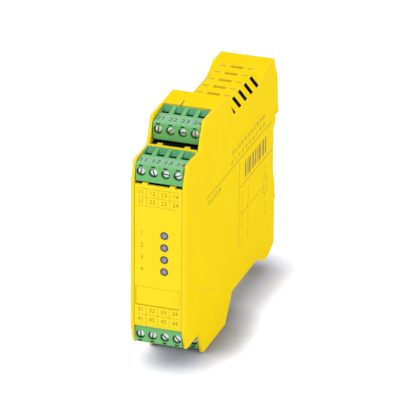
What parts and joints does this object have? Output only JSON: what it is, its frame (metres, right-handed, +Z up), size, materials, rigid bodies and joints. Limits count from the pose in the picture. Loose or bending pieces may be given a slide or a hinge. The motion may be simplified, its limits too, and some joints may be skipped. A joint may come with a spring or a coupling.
{
  "type": "safety relay module",
  "caption": "Narrow yellow rail-mount safety relay with stepped tiers of green plug-in screw terminals, vented block, front indicators and a sprung rail catch.",
  "frame": {"origin": "middle of the plane in which the housing seats on the rail flanges, half way between the flange edges", "axes": "+X along the rail, +Y from the front cover towards the rail, +Z up"},
  "size_m": [0.0226, 0.1145, 0.099],
  "materials": {
    "housing_plastic": "fine matt, moulded",
    "cover_plastic": "fine matt, moulded",
    "marker_plastic": "smooth matt",
    "catch_plastic": "fine matt, moulded",
    "plug_plastic": "fine matt, moulded",
    "header_plastic": "matt",
    "lens_plastic": "clear, slightly smoky",
    "led_resin": "diffused",
    "board_laminate": "solder resist",
    "relay_case": "moulded",
    "capacitor_can": "sleeved",
    "chip_resin": "moulded",
    "tinned_copper": "tinned",
    "contact_brass": "bright",
    "plated_screw": "bright nickel plate",
    "plated_clamp": "plated",
    "spring_steel": "bright"
  },
  "bodies": {
    "module": {"housing": "housing_plastic", "front_cover": "cover_plastic", "marker_plate": "marker_plastic", "light_guide": "lens_plastic", "circuit_board": "board_laminate", "display_board": "board_laminate", "indicator_leds": "led_resin", "relay_upper": "relay_case", "relay_lower": "relay_case", "supply_capacitor": "capacitor_can", "logic_chips": "chip_resin", "header_pins": "tinned_copper", "catch_spring": "spring_steel", "header_top_front": "header_plastic", "header_top_rear": "header_plastic", "header_bottom_front": "header_plastic", "header_bottom_rear": "header_plastic"},
    "catch": {"rail_catch": "catch_plastic"},
    "plug_top_front": {"plug_top_front": "plug_plastic", "contacts_top_front": "contact_brass"},
    "screw_top_front_1": {"screw_top_front_1": "plated_screw"},
    "clamp_top_front_1": {"clamp_top_front_1": "plated_clamp"},
    "screw_top_front_2": {"screw_top_front_2": "plated_screw"},
    "clamp_top_front_2": {"clamp_top_front_2": "plated_clamp"},
    "screw_top_front_3": {"screw_top_front_3": "plated_screw"},
    "clamp_top_front_3": {"clamp_top_front_3": "plated_clamp"},
    "screw_top_front_4": {"screw_top_front_4": "plated_screw"},
    "clamp_top_front_4": {"clamp_top_front_4": "plated_clamp"},
    "plug_top_rear": {"plug_top_rear": "plug_plastic", "contacts_top_rear": "contact_brass"},
    "screw_top_rear_1": {"screw_top_rear_1": "plated_screw"},
    "clamp_top_rear_1": {"clamp_top_rear_1": "plated_clamp"},
    "screw_top_rear_2": {"screw_top_rear_2": "plated_screw"},
    "clamp_top_rear_2": {"clamp_top_rear_2": "plated_clamp"},
    "screw_top_rear_3": {"screw_top_rear_3": "plated_screw"},
    "clamp_top_rear_3": {"clamp_top_rear_3": "plated_clamp"},
    "screw_top_rear_4": {"screw_top_rear_4": "plated_screw"},
    "clamp_top_rear_4": {"clamp_top_rear_4": "plated_clamp"},
    "plug_bottom_front": {"plug_bottom_front": "plug_plastic", "contacts_bottom_front": "contact_brass"},
    "screw_bottom_front_1": {"screw_bottom_front_1": "plated_screw"},
    "clamp_bottom_front_1": {"clamp_bottom_front_1": "plated_clamp"},
    "screw_bottom_front_2": {"screw_bottom_front_2": "plated_screw"},
    "clamp_bottom_front_2": {"clamp_bottom_front_2": "plated_clamp"},
    "screw_bottom_front_3": {"screw_bottom_front_3": "plated_screw"},
    "clamp_bottom_front_3": {"clamp_bottom_front_3": "plated_clamp"},
    "screw_bottom_front_4": {"screw_bottom_front_4": "plated_screw"},
    "clamp_bottom_front_4": {"clamp_bottom_front_4": "plated_clamp"},
    "plug_bottom_rear": {"plug_bottom_rear": "plug_plastic", "contacts_bottom_rear": "contact_brass"},
    "screw_bottom_rear_1": {"screw_bottom_rear_1": "plated_screw"},
    "clamp_bottom_rear_1": {"clamp_bottom_rear_1": "plated_clamp"},
    "screw_bottom_rear_2": {"screw_bottom_rear_2": "plated_screw"},
    "clamp_bottom_rear_2": {"clamp_bottom_rear_2": "plated_clamp"},
    "screw_bottom_rear_3": {"screw_bottom_rear_3": "plated_screw"},
    "clamp_bottom_rear_3": {"clamp_bottom_rear_3": "plated_clamp"},
    "screw_bottom_rear_4": {"screw_bottom_rear_4": "plated_screw"},
    "clamp_bottom_rear_4": {"clamp_bottom_rear_4": "plated_clamp"}
  },
  "joints": [
    {"name": "rail_catch_slide", "type": "slide", "parent": "module", "child": "catch", "axis": [0, 0, -1], "range_m": [0, 0.0035], "stiffness_N_per_m": 1200, "springref_m": -0.003, "deforming": ["catch_spring"]},
    {"name": "plug_top_front_slide", "type": "slide", "parent": "module", "child": "plug_top_front", "axis": [0, -1, 0], "range_m": [0, 0.008]},
    {"name": "screw_top_front_1_turn", "type": "hinge", "parent": "plug_top_front", "child": "screw_top_front_1", "pos_m": [-0.0075, -0.1073, 0.0345], "axis": [0, 1, 0], "range_deg": [0, 2085]},
    {"name": "clamp_top_front_1_slide", "type": "slide", "parent": "plug_top_front", "child": "clamp_top_front_1", "axis": [0, -1, 0], "range_m": [0, 0.0026]},
    {"name": "screw_top_front_2_turn", "type": "hinge", "parent": "plug_top_front", "child": "screw_top_front_2", "pos_m": [-0.0025, -0.1073, 0.0345], "axis": [0, 1, 0], "range_deg": [0, 2085]},
    {"name": "clamp_top_front_2_slide", "type": "slide", "parent": "plug_top_front", "child": "clamp_top_front_2", "axis": [0, -1, 0], "range_m": [0, 0.0026]},
    {"name": "screw_top_front_3_turn", "type": "hinge", "parent": "plug_top_front", "child": "screw_top_front_3", "pos_m": [0.0025, -0.1073, 0.0345], "axis": [0, 1, 0], "range_deg": [0, 2085]},
    {"name": "clamp_top_front_3_slide", "type": "slide", "parent": "plug_top_front", "child": "clamp_top_front_3", "axis": [0, -1, 0], "range_m": [0, 0.0026]},
    {"name": "screw_top_front_4_turn", "type": "hinge", "parent": "plug_top_front", "child": "screw_top_front_4", "pos_m": [0.0075, -0.1073, 0.0345], "axis": [0, 1, 0], "range_deg": [0, 2085]},
    {"name": "clamp_top_front_4_slide", "type": "slide", "parent": "plug_top_front", "child": "clamp_top_front_4", "axis": [0, -1, 0], "range_m": [0, 0.0026]},
    {"name": "plug_top_rear_slide", "type": "slide", "parent": "module", "child": "plug_top_rear", "axis": [0, -1, 0], "range_m": [0, 0.008]},
    {"name": "screw_top_rear_1_turn", "type": "hinge", "parent": "plug_top_rear", "child": "screw_top_rear_1", "pos_m": [-0.0075, -0.0876, 0.0439], "axis": [0, 1, 0], "range_deg": [0, 2085]},
    {"name": "clamp_top_rear_1_slide", "type": "slide", "parent": "plug_top_rear", "child": "clamp_top_rear_1", "axis": [0, -1, 0], "range_m": [0, 0.0026]},
    {"name": "screw_top_rear_2_turn", "type": "hinge", "parent": "plug_top_rear", "child": "screw_top_rear_2", "pos_m": [-0.0025, -0.0876, 0.0439], "axis": [0, 1, 0], "range_deg": [0, 2085]},
    {"name": "clamp_top_rear_2_slide", "type": "slide", "parent": "plug_top_rear", "child": "clamp_top_rear_2", "axis": [0, -1, 0], "range_m": [0, 0.0026]},
    {"name": "screw_top_rear_3_turn", "type": "hinge", "parent": "plug_top_rear", "child": "screw_top_rear_3", "pos_m": [0.0025, -0.0876, 0.0439], "axis": [0, 1, 0], "range_deg": [0, 2085]},
    {"name": "clamp_top_rear_3_slide", "type": "slide", "parent": "plug_top_rear", "child": "clamp_top_rear_3", "axis": [0, -1, 0], "range_m": [0, 0.0026]},
    {"name": "screw_top_rear_4_turn", "type": "hinge", "parent": "plug_top_rear", "child": "screw_top_rear_4", "pos_m": [0.0075, -0.0876, 0.0439], "axis": [0, 1, 0], "range_deg": [0, 2085]},
    {"name": "clamp_top_rear_4_slide", "type": "slide", "parent": "plug_top_rear", "child": "clamp_top_rear_4", "axis": [0, -1, 0], "range_m": [0, 0.0026]},
    {"name": "plug_bottom_front_slide", "type": "slide", "parent": "module", "child": "plug_bottom_front", "axis": [0, -1, 0], "range_m": [0, 0.008]},
    {"name": "screw_bottom_front_1_turn", "type": "hinge", "parent": "plug_bottom_front", "child": "screw_bottom_front_1", "pos_m": [0.0075, -0.1073, -0.0345], "axis": [0, 1, 0], "range_deg": [0, 2085]},
    {"name": "clamp_bottom_front_1_slide", "type": "slide", "parent": "plug_bottom_front", "child": "clamp_bottom_front_1", "axis": [0, -1, 0], "range_m": [0, 0.0026]},
    {"name": "screw_bottom_front_2_turn", "type": "hinge", "parent": "plug_bottom_front", "child": "screw_bottom_front_2", "pos_m": [0.0025, -0.1073, -0.0345], "axis": [0, 1, 0], "range_deg": [0, 2085]},
    {"name": "clamp_bottom_front_2_slide", "type": "slide", "parent": "plug_bottom_front", "child": "clamp_bottom_front_2", "axis": [0, -1, 0], "range_m": [0, 0.0026]},
    {"name": "screw_bottom_front_3_turn", "type": "hinge", "parent": "plug_bottom_front", "child": "screw_bottom_front_3", "pos_m": [-0.0025, -0.1073, -0.0345], "axis": [0, 1, 0], "range_deg": [0, 2085]},
    {"name": "clamp_bottom_front_3_slide", "type": "slide", "parent": "plug_bottom_front", "child": "clamp_bottom_front_3", "axis": [0, -1, 0], "range_m": [0, 0.0026]},
    {"name": "screw_bottom_front_4_turn", "type": "hinge", "parent": "plug_bottom_front", "child": "screw_bottom_front_4", "pos_m": [-0.0075, -0.1073, -0.0345], "axis": [0, 1, 0], "range_deg": [0, 2085]},
    {"name": "clamp_bottom_front_4_slide", "type": "slide", "parent": "plug_bottom_front", "child": "clamp_bottom_front_4", "axis": [0, -1, 0], "range_m": [0, 0.0026]},
    {"name": "plug_bottom_rear_slide", "type": "slide", "parent": "module", "child": "plug_bottom_rear", "axis": [0, -1, 0], "range_m": [0, 0.008]},
    {"name": "screw_bottom_rear_1_turn", "type": "hinge", "parent": "plug_bottom_rear", "child": "screw_bottom_rear_1", "pos_m": [0.0075, -0.0876, -0.0439], "axis": [0, 1, 0], "range_deg": [0, 2085]},
    {"name": "clamp_bottom_rear_1_slide", "type": "slide", "parent": "plug_bottom_rear", "child": "clamp_bottom_rear_1", "axis": [0, -1, 0], "range_m": [0, 0.0026]},
    {"name": "screw_bottom_rear_2_turn", "type": "hinge", "parent": "plug_bottom_rear", "child": "screw_bottom_rear_2", "pos_m": [0.0025, -0.0876, -0.0439], "axis": [0, 1, 0], "range_deg": [0, 2085]},
    {"name": "clamp_bottom_rear_2_slide", "type": "slide", "parent": "plug_bottom_rear", "child": "clamp_bottom_rear_2", "axis": [0, -1, 0], "range_m": [0, 0.0026]},
    {"name": "screw_bottom_rear_3_turn", "type": "hinge", "parent": "plug_bottom_rear", "child": "screw_bottom_rear_3", "pos_m": [-0.0025, -0.0876, -0.0439], "axis": [0, 1, 0], "range_deg": [0, 2085]},
    {"name": "clamp_bottom_rear_3_slide", "type": "slide", "parent": "plug_bottom_rear", "child": "clamp_bottom_rear_3", "axis": [0, -1, 0], "range_m": [0, 0.0026]},
    {"name": "screw_bottom_rear_4_turn", "type": "hinge", "parent": "plug_bottom_rear", "child": "screw_bottom_rear_4", "pos_m": [-0.0075, -0.0876, -0.0439], "axis": [0, 1, 0], "range_deg": [0, 2085]},
    {"name": "clamp_bottom_rear_4_slide", "type": "slide", "parent": "plug_bottom_rear", "child": "clamp_bottom_rear_4", "axis": [0, -1, 0], "range_m": [0, 0.0026]}
  ],
  "couplings": [
    {"joint": "screw_top_front_1_turn", "follows": "clamp_top_front_1_slide", "rad_per_m": 13963},
    {"joint": "screw_top_front_2_turn", "follows": "clamp_top_front_2_slide", "rad_per_m": 13963},
    {"joint": "screw_top_front_3_turn", "follows": "clamp_top_front_3_slide", "rad_per_m": 13963},
    {"joint": "screw_top_front_4_turn", "follows": "clamp_top_front_4_slide", "rad_per_m": 13963},
    {"joint": "screw_top_rear_1_turn", "follows": "clamp_top_rear_1_slide", "rad_per_m": 13963},
    {"joint": "screw_top_rear_2_turn", "follows": "clamp_top_rear_2_slide", "rad_per_m": 13963},
    {"joint": "screw_top_rear_3_turn", "follows": "clamp_top_rear_3_slide", "rad_per_m": 13963},
    {"joint": "screw_top_rear_4_turn", "follows": "clamp_top_rear_4_slide", "rad_per_m": 13963},
    {"joint": "screw_bottom_front_1_turn", "follows": "clamp_bottom_front_1_slide", "rad_per_m": 13963},
    {"joint": "screw_bottom_front_2_turn", "follows": "clamp_bottom_front_2_slide", "rad_per_m": 13963},
    {"joint": "screw_bottom_front_3_turn", "follows": "clamp_bottom_front_3_slide", "rad_per_m": 13963},
    {"joint": "screw_bottom_front_4_turn", "follows": "clamp_bottom_front_4_slide", "rad_per_m": 13963},
    {"joint": "screw_bottom_rear_1_turn", "follows": "clamp_bottom_rear_1_slide", "rad_per_m": 13963},
    {"joint": "screw_bottom_rear_2_turn", "follows": "clamp_bottom_rear_2_slide", "rad_per_m": 13963},
    {"joint": "screw_bottom_rear_3_turn", "follows": "clamp_bottom_rear_3_slide", "rad_per_m": 13963},
    {"joint": "screw_bottom_rear_4_turn", "follows": "clamp_bottom_rear_4_slide", "rad_per_m": 13963}
  ]
}
